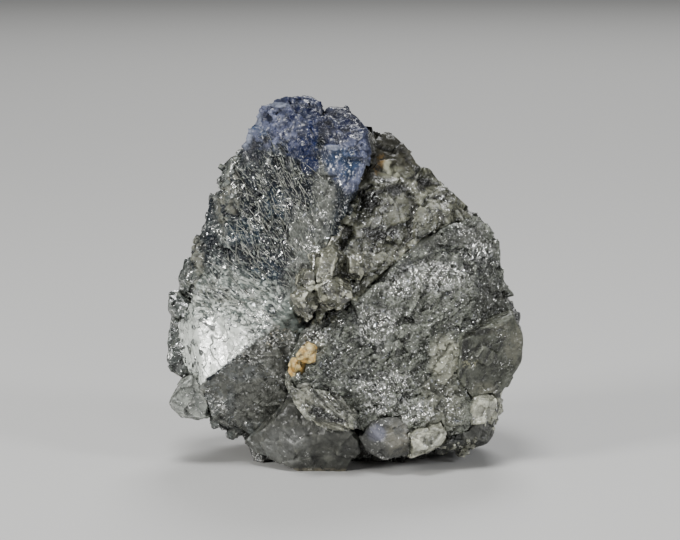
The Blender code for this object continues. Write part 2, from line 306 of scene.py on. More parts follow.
def buildStreakGroup():  # thin lines, and softer dashes, along one direction in the XZ plane
    inputs = {"Place": (0, 0, 0), "Angle": 0.0, "Length": 3.0, "Width": 0.2, "Share": 0.05}
    group, given, result = newGroup("streaks", inputs, ["Lines", "Dashes"])
    turned = addNode(group, "VectorRotate", {"Vector": given["Place"], "Angle": given["Angle"]},
                     rotation_type="Y_AXIS", invert=True)
    along = maths(group, "DIVIDE", 1.0, given["Length"])
    across = maths(group, "DIVIDE", 1.0, given["Width"])
    stretch = addNode(group, "CombineXYZ", {"X": along, "Y": across, "Z": across})
    stretched = vectorMaths(group, "MULTIPLY", turned.outputs[0], stretch.outputs[0])
    wave = noise(group, stretched, scale=1.0, detail=1.0, distortion=0.15)
    offset = maths(group, "ABSOLUTE", maths(group, "SUBTRACT", wave, 0.5))
    over = maths(group, "SUBTRACT", wave, maths(group, "SUBTRACT", 1.0, given["Share"]))
    feed(group, result, {"Lines": rise(group, offset, 0.0, given["Share"], 1.0, 0.0),
                         "Dashes": rise(group, over, 0.0, 0.05)})
    return group


def buildGlintGroup():   # a share of tiny cells that catch the light
    inputs = {"Place": (0, 0, 0), "Size": 0.2, "Share": 0.1}
    group, given, result = newGroup("glints", inputs, ["Mask"])
    bent = wandering(group, given["Place"], scale=2.6, detail=3.0, amount=0.55)
    feeds = {"Vector": bent, "Scale": maths(group, "DIVIDE", 1.0, given["Size"])}
    cells = addNode(group, "TexVoronoi", feeds)
    tone = addNode(group, "SeparateColor", {"Color": cells.outputs["Color"]}).outputs
    lit = maths(group, "GREATER_THAN", tone["Red"], maths(group, "SUBTRACT", 1.0, given["Share"]))
    lit = maths(group, "MULTIPLY", lit, rise(group, tone["Green"], 0.0, 1.0, 0.25, 1.0))
    core = rise(group, cells.outputs["Distance"], 0.3, 0.55, 1.0, 0.0)
    feed(group, result, {"Mask": maths(group, "MULTIPLY", lit, core)})
    return group


def buildFacetGroup():   # flat faces tilted at random, as a height
    group, given, result = newGroup("facets", {"Place": (0, 0, 0), "Size": 0.4}, ["Height"])
    feeds = {"Vector": given["Place"], "Scale": maths(group, "DIVIDE", 1.0, given["Size"])}
    cells = addNode(group, "TexVoronoi", feeds)
    tilt = vectorMaths(group, "SUBTRACT", cells.outputs["Color"], (0.5, 0.5, 0.5))
    across = vectorMaths(group, "SUBTRACT", given["Place"], cells.outputs["Position"])
    feed(group, result, {"Height": vectorMaths(group, "DOT_PRODUCT", tilt, across)})
    return group


groups = {
    "spot": buildSpotGroup(),
    "streaks": buildStreakGroup(),
    "glints": buildGlintGroup(),
    "facets": buildFacetGroup(),
}


def useGroup(tree, name, feeds, output):
    return addNode(tree, "Group", feeds, node_tree=groups[name]).outputs[output]


def spotMask(tree, place, coat):        # a coat's spots, each as wide and tall as it says
    edge = {"Ragged": coat.get("ragged", 0.8), "Soft": coat.get("soft", 0.35)}
    widest = None
    for x, y, z, wide, tall in coat["spots"]:
        reach = (wide, coat.get("deep", 9), tall)
        feeds = {"Place": place, "Centre": (x, y, z), "Reach": reach, **edge}
        spot = useGroup(tree, "spot", feeds, "Mask")
        widest = spot if widest is None else maths(tree, "MAXIMUM", widest, spot)
    return widest


def coatMask(tree, place, coat):        # what a coat names, multiplied together
    masks = []
    if "spots" in coat:
        masks.append(spotMask(tree, place, coat))
    if "side" in coat:                 # one side of a plane, along a wandering line
        facing, offset = coat["side"]
        height = vectorMaths(tree, "DOT_PRODUCT", place, facing)
        wander = maths(tree, "MULTIPLY", noise(tree, place, scale=1.1, detail=5.0), 1.4)
        height = maths(tree, "ADD", height, wander)
        masks.append(rise(tree, height, offset + 0.58, offset + 0.82))
    for kind in ("lines", "dashes"):
        if kind in coat:
            angle, length, width, share = coat[kind]
            feeds = {"Place": place, "Angle": math.radians(angle), "Length": length,
                     "Width": width, "Share": share}
            masks.append(useGroup(tree, "streaks", feeds, kind.title()))
    if "glints" in coat:
        size, share = coat["glints"]
        masks.append(useGroup(tree, "glints", {"Place": place, "Size": size, "Share": share}, "Mask"))
    for kind, detail, warp in (("cloud", 5.0, 0.0), ("specks", 2.0, 0.9)):
        if kind in coat:
            size, low, high = coat[kind]
            grains = noise(tree, place, 1.0 / size, detail, roughness=0.62, distortion=warp)
            masks.append(rise(tree, grains, low, high))
    total = masks[0]
    for mask in masks[1:]:
        total = maths(tree, "MULTIPLY", total, mask)
    return maths(tree, "MULTIPLY", total, coat["amount"])


refraction, coatRough = 1.69, 0.15      # 1.69 is tanzanite's own index


def crystalFinish(name, look):
    material = bpy.data.materials.new(name)
    material.use_nodes = True
    tree = material.node_tree
    shader = tree.nodes["Principled BSDF"]
    place = scaled(tree, addNode(tree, "TexCoord", {}).outputs["Object"], 1.0 / mm)
    hollow = addNode(tree, "Attribute", {}, attribute_name="hollow").outputs["Fac"]

    mottle = noise(tree, place, 1.0 / look["mottle"], detail=7.0, roughness=0.66)
    base = (*look["dark"], 1), (*look["pale"], 1)
    colour = blendColour(tree, rise(tree, mottle, 0.36, 0.64), *base)
    surface = {"rough": rise(tree, mottle, 0.3, 0.7, *look["rough"]),
               "gloss": look.get("gloss", 0.5), "metal": look.get("metal", 0.0)}

    bent = wandering(tree, place, scale=3.2, detail=2.0, amount=0.6)
    cells = addNode(tree, "TexVoronoi", {"Vector": bent, "Scale": 1.0 / look["grain"]})
    tone = addNode(tree, "SeparateColor", {"Color": cells.outputs["Color"]}).outputs["Red"]
    vary = look["grainVary"]
    colour = scaled(tree, colour, rise(tree, tone, 0.0, 1.0, 1.0 - vary, 1.0 + vary, "LINEAR"))

    facets = useGroup(tree, "facets", {"Place": bent, "Size": look["facet"]}, "Height")
    height = maths(tree, "MULTIPLY", facets, look["facetTilt"])
    fine = noise(tree, place, 1.0 / look["fine"], detail=4.0, roughness=0.7)
    height = maths(tree, "ADD", height, maths(tree, "MULTIPLY", fine, look["fineHeight"]))

    # painted shade and painted highlight: the colour is darkened in hollows and lightened on edges,
    # from the hollow attribute
    dim = rise(tree, hollow, 0.40, 0.80, 1.0, look["hollowShade"])
    lift = rise(tree, hollow, 0.20, 0.48, look["edgePaintedHighlight"], 1.0)
    shade = maths(tree, "MULTIPLY", dim, lift)
    shaded = False
    for coat in look["layers"]:
        if coat.get("onTop") and not shaded:
            colour = scaled(tree, colour, shade)
            shaded = True
        mask = coatMask(tree, place, coat)
        colour = blendColour(tree, mask, colour, (*coat["colour"], 1))
        for kind in surface:
            if kind in coat:
                surface[kind] = blendValue(tree, mask, surface[kind], coat[kind])
        if "flatten" in coat:
            kept = rise(tree, mask, 0.0, 1.0, 1.0, 1.0 - coat["flatten"], "LINEAR")
            height = maths(tree, "MULTIPLY", height, kept)
        if "height" in coat:
            height = maths(tree, "ADD", height, maths(tree, "MULTIPLY", mask, coat["height"]))
    if not shaded:
        colour = scaled(tree, colour, shade)

    bump = addNode(tree, "Bump", {"Height": height, "Distance": mm, "Strength": 1.0})
    feed(tree, shader, {
        "Base Color": colour, "Roughness": surface["rough"], "Metallic": surface["metal"],
        "Specular IOR Level": surface["gloss"], "IOR": refraction,
        "Coat Weight": look.get("coat", 0.0), "Coat Roughness": coatRough,
        "Normal": bump.outputs["Normal"],
    })
    return material


# the finishes: a base, then coats of colour from the lowest to the topmost

overRidge, underRidge = ((-0.64, 0.0, 0.768), 13.3), ((0.64, 0.0, -0.768), -13.3)
silver, blackish = (0.88, 0.89, 0.86), (0.012, 0.012, 0.011)


def layer(colour, amount, **settings):  # spots hold x, y, z, width and height, in millimetres
    return {"colour": colour, "amount": amount, **settings}


def glitter(size, low, high, **settings):               # metallic specks over everything else
    usual = {"amount": 0.9, "rough": 0.16, "metal": 1.0, "onTop": True}
    return {"colour": silver, "specks": (size, low, high), **usual, **settings}


tanzaniteLook = {
    "dark": (0.003, 0.005, 0.008), "pale": (0.018, 0.022, 0.026), "mottle": 1.3,
    "rough": (0.12, 0.30), "gloss": 0.15, "grain": 0.30, "grainVary": 0.3, "facet": 0.34,
    "facetTilt": 0.6, "fine": 0.2, "fineHeight": 0.010, "hollowShade": 0.6, "edgePaintedHighlight": 1.4,
    "layers": [
        # frosted ground below the middle and by the cleft
        layer((0.125, 0.148, 0.135), 0.9, cloud=(1.6, 0.34, 0.54), rough=0.35,
              spots=[(-10.0, -6, 14.2, 4.4, 2.9), (-5.6, -6, 13.4, 3.4, 2.0)]),
        layer((0.150, 0.157, 0.138), 0.62, cloud=(1.2, 0.28, 0.50), ragged=0.9, rough=0.4,
              spots=[(-3.0, -6, 20.0, 1.8, 2.3), (-1.6, -7, 23.4, 0.9, 2.4),
                     (-3.4, -7, 16.4, 1.4, 2.4)]),
        layer((0.16, 0.16, 0.13), 0.85, cloud=(0.7, 0.40, 0.56), rough=0.35,
              spots=[(-9.9, -3, 23.4, 1.0, 3.8), (-12.6, -3, 16.8, 0.8, 3.0)]),
        layer((0.070, 0.080, 0.078), 0.8, cloud=(1.1, 0.44, 0.58),
              spots=[(-10.2, -5, 19.0, 1.7, 3.4), (-8.0, -5, 25.6, 1.5, 1.0)]),
        # blue windows
        layer((0.012, 0.026, 0.042), 0.7, rough=0.14, ragged=1.1,
              spots=[(-8.4, -5, 20.0, 1.6, 1.0), (-5.8, -5, 22.4, 0.9, 1.3),
                     (-6.6, -5, 17.0, 1.3, 0.9)]),
        # streaks: steep at the top, flatter lower down, and rising on the broken face
        layer((0.32, 0.34, 0.29), 0.8, dashes=(47, 6.0, 0.17, 0.375), height=0.03, rough=0.35,
              spots=[(-6.4, -5, 23.4, 4.4, 4.4)]),
        layer((0.27, 0.29, 0.25), 0.8, dashes=(57, 5.0, 0.15, 0.355), height=0.03, rough=0.35,
              spots=[(-4.6, -5, 22.2, 5.0, 5.0)]),
        layer((0.30, 0.31, 0.26), 0.85, dashes=(74, 7.0, 0.17, 0.335), height=0.03, rough=0.35,
              spots=[(-3.8, -5, 22.6, 3.2, 4.4)]),
        layer((0.38, 0.42, 0.38), 0.85, dashes=(14, 2.6, 0.28, 0.43), height=0.03, rough=0.3,
              gloss=0.6, spots=[(-9.4, -6, 14.4, 4.8, 2.9)]),
        layer((0.30, 0.34, 0.31), 0.75, dashes=(34, 1.8, 0.20, 0.37), height=0.03, rough=0.35,
              spots=[(-7.8, -6, 18.0, 4.8, 3.6)]),
        layer((0.003, 0.005, 0.008), 0.85, cloud=(0.9, 0.50, 0.58), ragged=1.2, rough=0.14,
              spots=[(-5.9, -5, 20.4, 2.4, 2.6), (-5.2, -5, 17.4, 1.8, 1.5),
                     (-7.0, -5, 23.8, 1.8, 2.0)]),
        layer((0.006, 0.009, 0.013), 0.85, dashes=(24, 2.2, 0.32, 0.40), rough=0.12,
              spots=[(-8.8, -5, 15.6, 5.0, 3.4)]),
        # the smooth patch, its pale colour partly a painted reflection of the left light, breaking up
        # into flecks above, with its thin dark cracks
        layer((0.62, 0.66, 0.60), 0.92, dashes=(16, 2.2, 0.34, 0.50), rough=0.2, flatten=0.7,
              gloss=0.9, side=overRidge, spots=[(-10.2, -6, 13.0, 3.9, 2.3)]),
        layer((0.50, 0.54, 0.49), 0.85, dashes=(38, 1.4, 0.24, 0.44), rough=0.2, gloss=0.7,
              spots=[(-9.4, -6, 14.6, 4.2, 2.2)]),
        layer((0.74, 0.78, 0.72), 0.97, rough=0.20, flatten=0.85, ragged=1.4, soft=0.2, gloss=0.9,
              side=overRidge,
              spots=[(-12.4, -6, 9.6, 3.0, 2.8), (-10.6, -6, 10.4, 2.6, 2.4),
                     (-9.6, -6, 11.0, 2.4, 1.7), (-11.9, -6, 7.4, 2.4, 2.6)]),
        layer((0.34, 0.37, 0.33), 0.55, dashes=(44, 6.0, 0.15, 0.36), height=-0.03, gloss=0.3,
              side=overRidge, spots=[(-12.6, -6, 8.0, 2.2, 1.9), (-11.4, -6, 6.6, 1.6, 1.6)]),
        layer((0.045, 0.05, 0.05), 0.9, lines=(38, 3.0, 1.3, 0.020), height=-0.04, gloss=0.1,
              side=overRidge, spots=[(-10.8, -6, 10.6, 3.6, 3.2)]),
        layer((0.40, 0.43, 0.39), 0.7, dashes=(30, 2.4, 0.40, 0.42), gloss=0.4, side=overRidge,
              spots=[(-10.6, -6, 11.0, 4.0, 3.6)]),
        layer((0.10, 0.11, 0.10), 0.85, specks=(0.60, 0.68, 0.70), height=-0.04, gloss=0.2,
              spots=[(-10.4, -6, 11.4, 3.6, 2.6)]),
        layer((0.022, 0.026, 0.026), 0.9, dashes=(40, 5.0, 0.80, 0.315), height=-0.05, gloss=0.1,
              spots=[(-11.1, -6, 10.2, 3.9, 3.8)]),
        layer((0.022, 0.026, 0.026), 0.9, dashes=(-30, 2.4, 0.70, 0.30), height=-0.05, gloss=0.1,
              spots=[(-10.0, -6, 11.6, 3.0, 2.4)]),
        # the dark broken face under the ridge
        layer((0.098, 0.101, 0.086), 0.9, ragged=0.8, rough=0.2, gloss=0.5, side=underRidge,
              spots=[(-6.4, -8, 6.8, 6.4, 5.4)]),
        layer((0.185, 0.190, 0.165), 0.8, cloud=(1.2, 0.48, 0.62), rough=0.3, side=underRidge,
              spots=[(-6.6, -7, 6.8, 6.4, 5.0)]),
        layer((0.19, 0.20, 0.17), 0.7, dashes=(-40, 4.2, 0.30, 0.355), height=0.02, rough=0.3,
              side=underRidge, spots=[(-6.6, -7, 6.0, 5.6, 3.6)]),
        layer((0.014, 0.015, 0.012), 0.75, cloud=(0.9, 0.55, 0.63), rough=0.2, side=underRidge,
              spots=[(-6.6, -7, 6.4, 6.2, 5.0)]),
        layer((0.014, 0.015, 0.012), 0.75, dashes=(-44, 3.6, 0.30, 0.36), rough=0.2,
              side=underRidge, spots=[(-5.6, -7, 5.6, 5.6, 4.0)]),
        layer((0.030, 0.033, 0.032), 0.85, specks=(0.45, 0.50, 0.56), ragged=1.0,
              spots=[(-8.4, -6, 10.3, 1.2, 0.7), (-7.0, -6, 11.6, 1.6, 0.9),
                     (-9.9, -6, 9.0, 0.8, 0.5)]),
        layer((0.105, 0.115, 0.115), 0.7, cloud=(0.7, 0.44, 0.56), side=underRidge,
              spots=[(-10.6, -6, 5.8, 1.6, 1.8), (-8.6, -6, 8.6, 2.4, 1.0),
                     (-6.0, -6, 3.2, 3.0, 1.0)]),
        # the blue-violet frosted tip, its navy spot and its clearer window
        layer((0.027, 0.032, 0.058), 0.95, ragged=0.7, soft=0.16, flatten=0.8, rough=0.26,
              gloss=0.22, spots=[(-4.8, -2, 30.9, 4.2, 3.2), (0.5, -4, 27.2, 2.2, 3.2)]),
        layer((0.100, 0.113, 0.180), 0.9, ragged=0.9, soft=0.3, cloud=(1.0, 0.40, 0.56),
              rough=0.3, spots=[(-6.2, -2, 28.6, 2.7, 1.5), (0.9, -4, 26.2, 1.9, 2.2)]),
        layer((0.026, 0.027, 0.036), 0.85, cloud=(1.2, 0.36, 0.54),
              spots=[(-0.4, -3, 29.4, 2.2, 1.5), (-7.8, -3, 27.4, 1.4, 1.6)]),
        layer((0.010, 0.013, 0.040), 0.85, cloud=(0.7, 0.52, 0.60), rough=0.12,
              spots=[(-4.6, -2, 30.0, 3.4, 2.2), (0.3, -4, 28.2, 2.0, 2.0)]),
        layer((0.008, 0.014, 0.050), 0.9, ragged=1.2, soft=0.25, rough=0.10,
              spots=[(-3.6, -4, 27.1, 1.4, 0.9), (-2.9, -4, 26.0, 0.8, 0.8),
                     (-2.6, -4, 28.4, 0.5, 1.2)]),
        layer((0.026, 0.045, 0.088), 0.8, ragged=0.9, rough=0.12,
              spots=[(-0.1, -5, 26.2, 1.4, 1.2), (-7.3, -3, 28.4, 0.9, 0.5)]),
        layer((0.14, 0.15, 0.22), 0.6, cloud=(1.0, 0.50, 0.66),
              spots=[(-5.8, -2, 28.8, 4.0, 1.8), (0.9, -4, 26.6, 2.0, 2.8)]),
        layer((0.36, 0.38, 0.45), 0.65, specks=(0.15, 0.60, 0.64), cloud=(0.8, 0.46, 0.56),
              spots=[(-5.2, -2, 29.4, 4.0, 2.8), (0.5, -4, 27.2, 2.4, 3.4)]),
        # pale rim along the tip's outline, partly frosted colour and partly painted highlight
        layer((0.19, 0.21, 0.27), 0.7, ragged=0.8, soft=0.2,
              spots=[(-8.2, -2, 27.9, 0.5, 1.1), (-7.3, -2, 29.4, 0.35, 0.6),
                     (-5.6, -2, 30.6, 1.1, 0.22), (1.9, -4, 24.9, 0.35, 1.2),
                     (-0.9, -5, 27.4, 0.7, 0.22)]),
        # bright points where tiny faces catch the light
        glitter(0.26, 0.55, 0.58, cloud=(1.1, 0.54, 0.60), deep=12,
                spots=[(-7.0, -5, 15.4, 7.4, 11.6)]),
        glitter(0.24, 0.54, 0.57, ragged=1.2,
                spots=[(-8.0, -6, 9.9, 1.5, 0.7), (-6.0, -6, 11.6, 1.6, 1.0),
                       (-10.8, -6, 5.4, 1.2, 0.9), (-7.0, -6, 13.2, 0.9, 0.6)]),
        glitter(0.20, 0.67, 0.70, amount=0.7, cloud=(0.9, 0.48, 0.56),
                spots=[(-3.0, -3, 29.0, 5.4, 3.6)]),
        glitter(0.24, 0.63, 0.66, amount=0.85, cloud=(1.3, 0.47, 0.58),
                side=((0.0, 0.0, -1.0), -26.4)),
    ],
}

greyLook = {
    "dark": (0.083, 0.089, 0.072), "pale": (0.162, 0.173, 0.143), "mottle": 0.9,
    "rough": (0.10, 0.36), "gloss": 0.4, "grain": 0.20, "grainVary": 0.3, "facet": 0.24,
    "facetTilt": 1.1, "fine": 0.2, "fineHeight": 0.010, "hollowShade": 0.5, "edgePaintedHighlight": 1.3,
    "layers": [
        layer((0.051, 0.055, 0.046), 0.7, cloud=(3.2, 0.50, 0.60)),
        layer((0.034, 0.038, 0.036), 0.7, cloud=(1.6, 0.38, 0.56),
              spots=[(7.2, -5, 18.8, 6.0, 2.2), (12.2, -5, 16.6, 1.8, 3.0)]),
        layer((0.040, 0.044, 0.042), 0.6, cloud=(1.4, 0.46, 0.60),
              spots=[(0.4, -8, 9.6, 3.4, 4.0)]),
        layer((0.235, 0.253, 0.209), 0.7, dashes=(-28, 3.4, 0.27, 0.40), height=0.02, deep=12,
              spots=[(5.0, -6, 16.0, 9.0, 4.6)]),
        layer((0.216, 0.237, 0.194), 0.6, dashes=(48, 3.0, 0.27, 0.39), height=0.02, deep=12,
              spots=[(1.0, -8, 8.5, 6.5, 4.4)]),
        layer((0.020, 0.021, 0.019), 0.8, dashes=(-32, 1.6, 0.42, 0.38), rough=0.12, deep=12,
              spots=[(5.0, -6, 14.0, 10.0, 8.0)]),
        layer(blackish, 0.85, specks=(0.22, 0.585, 0.62), rough=0.12),
        layer((0.300, 0.302, 0.235), 0.8, ragged=0.7, soft=0.3, rough=0.45, flatten=0.85,
              gloss=0.2, spots=[(8.5, -6, 9.6, 1.3, 1.9)]),
        layer((0.122, 0.124, 0.097), 0.8, ragged=0.9, rough=0.45, flatten=0.6, gloss=0.2,
              spots=[(8.2, -6, 6.0, 1.9, 2.2)]),
        layer((0.038, 0.040, 0.032), 0.86, ragged=0.6, rough=0.3, flatten=0.5,
              spots=[(12.6, -4, 13.6, 1.5, 2.5), (6.6, -5, 19.4, 2.4, 0.8),
                     (10.6, -5, 19.6, 1.5, 1.0)]),
        layer((0.50, 0.50, 0.44), 0.85, ragged=1.0, soft=0.2,
              spots=[(-3.3, -9, 7.8, 0.55, 0.38)]),
        glitter(0.28, 0.52, 0.55, ragged=1.3,
                spots=[(2.6, -8, 12.6, 1.5, 1.3), (7.4, -6, 16.4, 2.9, 1.1),
                       (3.6, -8, 7.6, 2.2, 1.0), (11.2, -5, 18.4, 1.4, 0.8),
                       (-2.4, -9, 11.9, 1.2, 0.6), (6.0, -7, 5.4, 1.6, 0.9),
                       (2.9, -8, 6.0, 1.5, 0.7), (4.6, -7, 15.6, 1.2, 0.8)]),
        glitter(0.22, 0.58, 0.60, cloud=(1.2, 0.54, 0.60)),
        glitter(0.20, 0.63, 0.66),
    ],
}

brownLook = {
    "dark": (0.030, 0.031, 0.021), "pale": (0.150, 0.152, 0.109), "mottle": 1.0,
    "rough": (0.08, 0.32), "grain": 0.5, "grainVary": 0.3, "facet": 0.7, "facetTilt": 0.55,
    "fine": 0.2, "fineHeight": 0.008, "hollowShade": 0.3, "edgePaintedHighlight": 1.5, "coat": 0.15,
    "layers": [
        layer((0.008, 0.009, 0.007), 0.85, cloud=(1.6, 0.54, 0.62)),
        layer((0.260, 0.262, 0.200), 0.85, cloud=(0.7, 0.42, 0.56),
              spots=[(5.8, -4, 22.6, 2.4, 1.9), (7.6, -3, 21.2, 2.0, 1.3),
                     (4.1, -2, 24.9, 0.9, 0.6), (4.6, -5, 18.0, 2.4, 0.9)]),
        layer((0.020, 0.019, 0.013), 0.94, ragged=0.8, rough=0.45, gloss=0.12, flatten=0.5,
              spots=[(3.6, -2, 27.4, 3.2, 2.7), (1.6, -2, 25.6, 1.3, 1.6)]),
        layer((0.045, 0.043, 0.030), 0.7, ragged=0.8,
              spots=[(5.4, -2, 25.6, 1.3, 0.9), (3.6, -2, 28.6, 1.0, 0.7)]),
        layer((0.17, 0.105, 0.034), 0.75, specks=(0.4, 0.40, 0.55), rough=0.5, ragged=1.2,
              deep=1.8, spots=[(3.3, -1.6, 25.9, 0.4, 0.65), (2.8, -2.0, 25.1, 0.25, 0.35)]),
        layer((0.33, 0.330, 0.24), 0.8, ragged=0.9, soft=0.5, deep=2,
              spots=[(4.3, -1.4, 24.9, 1.15, 0.42), (3.7, -1.8, 25.5, 0.35, 0.45)]),
        layer((0.008, 0.008, 0.007), 0.9, ragged=1.2,
              spots=[(4.4, -2, 23.6, 1.0, 0.5), (2.2, -4, 22.6, 1.0, 0.8),
                     (3.2, -5, 20.0, 1.5, 0.8), (6.8, -2, 23.8, 0.7, 0.5)]),
        layer((0.210, 0.217, 0.185), 0.7, dashes=(-38, 1.8, 0.32, 0.42), height=0.02, deep=12,
              spots=[(6.5, -5, 19.0, 6.0, 3.0)]),
        glitter(0.26, 0.55, 0.58, cloud=(1.3, 0.54, 0.62), side=((0.0, 0.0, -1.0), -24.4)),
        glitter(0.22, 0.66, 0.68, side=((0.0, 0.0, -1.0), -24.4)),
    ],
}

sideLook = {
    "dark": (0.032, 0.034, 0.025), "pale": (0.085, 0.090, 0.071), "mottle": 1.5,
    "rough": (0.2, 0.36), "gloss": 0.3, "grain": 0.3, "grainVary": 0.25, "facet": 0.4,
    "facetTilt": 0.4, "fine": 0.2, "fineHeight": 0.014, "hollowShade": 0.5, "edgePaintedHighlight": 1.5,
    "layers": [
        layer((0.095, 0.099, 0.077), 0.7, cloud=(0.8, 0.48, 0.60)),
        layer((0.130, 0.135, 0.107), 0.7, dashes=(-20, 2.4, 0.30, 0.41), height=0.02),
        layer((0.015, 0.015, 0.013), 0.8, dashes=(-48, 1.8, 0.40, 0.40)),
        layer((0.010, 0.010, 0.008), 0.85, ragged=0.5,
              spots=[(10.9, -5, 11.9, 1.7, 0.35), (10.2, -5, 10.4, 0.3, 1.4)]),
        layer((0.150, 0.149, 0.112), 0.8, cloud=(0.6, 0.38, 0.54),
              spots=[(14.4, -5, 10.6, 0.8, 1.6), (11.6, -5, 6.6, 1.2, 0.9),
                     (13.4, -5, 11.9, 1.0, 0.6)]),
        layer((0.300, 0.293, 0.194), 0.8, specks=(0.3, 0.5, 0.56),
              spots=[(10.6, -5, 9.2, 0.7, 0.4)]),
        glitter(0.24, 0.62, 0.65, amount=0.85, cloud=(1.4, 0.48, 0.60)),
    ],
}

smokyLook = {
    "dark": (0.024, 0.025, 0.021), "pale": (0.066, 0.068, 0.058), "mottle": 1.6,
    "rough": (0.26, 0.42), "gloss": 0.4, "grain": 0.5, "grainVary": 0.12, "facet": 0.6,
    "facetTilt": 0.3, "fine": 0.2, "fineHeight": 0.014, "hollowShade": 0.55, "edgePaintedHighlight": 1.5,
    "layers": [
        layer((0.115, 0.117, 0.098), 0.7, cloud=(0.8, 0.52, 0.66)),
        layer((0.010, 0.012, 0.012), 0.75, cloud=(1.2, 0.55, 0.66)),
        layer((0.120, 0.124, 0.116), 0.8, cloud=(1.3, 0.40, 0.58),
              spots=[(-4.8, -5, 2.4, 2.2, 1.5)]),
        layer((0.110, 0.118, 0.112), 0.7, specks=(0.4, 0.54, 0.60),
              spots=[(-7.6, -5, 2.2, 2.0, 1.4)]),
        layer((0.20, 0.175, 0.120), 0.6, ragged=0.4, cloud=(0.4, 0.40, 0.52),
              spots=[(-2.8, -5, 0.0, 3.8, 0.3)]),
        glitter(0.24, 0.64, 0.67, amount=0.85, cloud=(1.4, 0.50, 0.60)),
    ],
}

fanLook = dict(greyLook, dark=(0.050, 0.052, 0.042), pale=(0.125, 0.129, 0.106), hollowShade=0.3,
               edgePaintedHighlight=2.2, layers=[
    layer((0.230, 0.234, 0.190), 0.75, dashes=(36, 2.2, 0.17, 0.45), height=0.03,
          spots=[(-2.0, -9, 6.4, 6.0, 6.0)]),
    layer((0.014, 0.014, 0.011), 0.75, dashes=(40, 2.0, 0.24, 0.40)),
    # painted shade: a near-black slot across the plate
    layer((0.006, 0.006, 0.005), 0.95, ragged=0.4, soft=0.25,
          spots=[(-2.3, -9, 5.9, 0.7, 0.3), (-1.5, -9, 5.4, 0.8, 0.3),
                 (-0.6, -9, 5.0, 0.7, 0.25)]),
    layer((0.30, 0.30, 0.235), 0.7, ragged=0.8, cloud=(0.4, 0.36, 0.52),
          spots=[(-0.9, -9, 4.5, 1.9, 0.36), (-3.3, -9, 6.8, 0.7, 0.9)]),
    glitter(0.24, 0.58, 0.61, amount=0.85, cloud=(1.2, 0.46, 0.56)),
])

paleLook = {
    "dark": (0.180, 0.182, 0.142), "pale": (0.500, 0.503, 0.405), "mottle": 0.9,
    "rough": (0.12, 0.34), "grain": 0.4, "grainVary": 0.25, "facet": 0.5, "facetTilt": 0.5,
    "fine": 0.14, "fineHeight": 0.012, "hollowShade": 0.45, "edgePaintedHighlight": 1.5, "coat": 0.3,
    "layers": [
        layer((0.030, 0.030, 0.024), 0.8, cloud=(0.8, 0.60, 0.67)),
        layer((0.600, 0.595, 0.470), 0.8, cloud=(0.9, 0.55, 0.64)),
        layer(silver, 0.9, glints=(0.22, 0.2), rough=0.14, metal=1.0, onTop=True),
    ],
}

cleftLook = dict(paleLook, dark=(0.040, 0.041, 0.030), pale=(0.155, 0.155, 0.116), mottle=1.3,
                 rough=(0.05, 0.14), gloss=0.8, facet=0.9, facetTilt=0.22, fineHeight=0.004,
                 hollowShade=0.3, edgePaintedHighlight=1.8, coat=0.0, layers=[
    layer((0.012, 0.012, 0.009), 0.8, cloud=(1.0, 0.50, 0.60)),
    layer((0.450, 0.445, 0.340), 0.8, cloud=(0.9, 0.55, 0.61), rough=0.3),
    glitter(0.24, 0.62, 0.65, rough=0.14),
])

crustLook = dict(paleLook, dark=(0.032, 0.038, 0.036), pale=(0.115, 0.127, 0.118), mottle=1.2,
                 rough=(0.08, 0.2), gloss=0.6, facet=0.8, facetTilt=0.3, fineHeight=0.006,
                 hollowShade=0.4, layers=[
    layer((0.190, 0.200, 0.165), 0.8, cloud=(0.8, 0.54, 0.62)),
    layer((0.012, 0.013, 0.012), 0.8, specks=(0.5, 0.58, 0.64)),
    glitter(0.22, 0.62, 0.65),
])

milkyLook = dict(paleLook, dark=(0.095, 0.104, 0.095), pale=(0.300, 0.318, 0.285), mottle=1.1,
                 rough=(0.12, 0.30), facet=0.8, facetTilt=0.3, fineHeight=0.006, hollowShade=0.3,
                 layers=[
    layer((0.040, 0.042, 0.034), 0.8, cloud=(0.8, 0.54, 0.64)),
    layer((0.480, 0.490, 0.440), 0.8, cloud=(0.7, 0.56, 0.64)),
    glitter(0.22, 0.62, 0.65),
])

rustLook = {
    "dark": (0.25, 0.165, 0.050), "pale": (0.76, 0.61, 0.28), "mottle": 0.5,
    "rough": (0.25, 0.45), "gloss": 0.5, "grain": 0.25, "grainVary": 0.3, "facet": 0.6,
    "facetTilt": 0.5, "fine": 0.12, "fineHeight": 0.02, "hollowShade": 0.25, "edgePaintedHighlight": 1.5,
    "layers": [
        layer((0.035, 0.022, 0.010), 0.85, cloud=(0.6, 0.56, 0.62)),
        layer((0.62, 0.36, 0.09), 0.75, cloud=(0.9, 0.46, 0.58)),
        layer((0.72, 0.62, 0.36), 0.85, cloud=(0.5, 0.56, 0.64)),
        layer((0.60, 0.60, 0.54), 0.9, ragged=0.8, soft=0.2, rough=0.3,
              spots=[(-3.8, -9, 8.0, 0.7, 0.4)]),
    ],
}

lilacLook = dict(smokyLook, dark=(0.034, 0.035, 0.032), pale=(0.078, 0.080, 0.073), layers=[
    layer((0.150, 0.142, 0.108), 0.75, cloud=(0.9, 0.36, 0.56), spots=[(4.5, -8, 3.3, 1.0, 1.3)]),
    layer((0.150, 0.155, 0.205), 0.7, ragged=1.0, soft=0.3, spots=[(2.7, -8, 3.7, 0.75, 0.7)]),
    layer((0.020, 0.021, 0.020), 0.6, ragged=1.2, spots=[(6.2, -8, 2.8, 0.8, 1.4)]),
    glitter(0.24, 0.65, 0.68, amount=0.8),
])

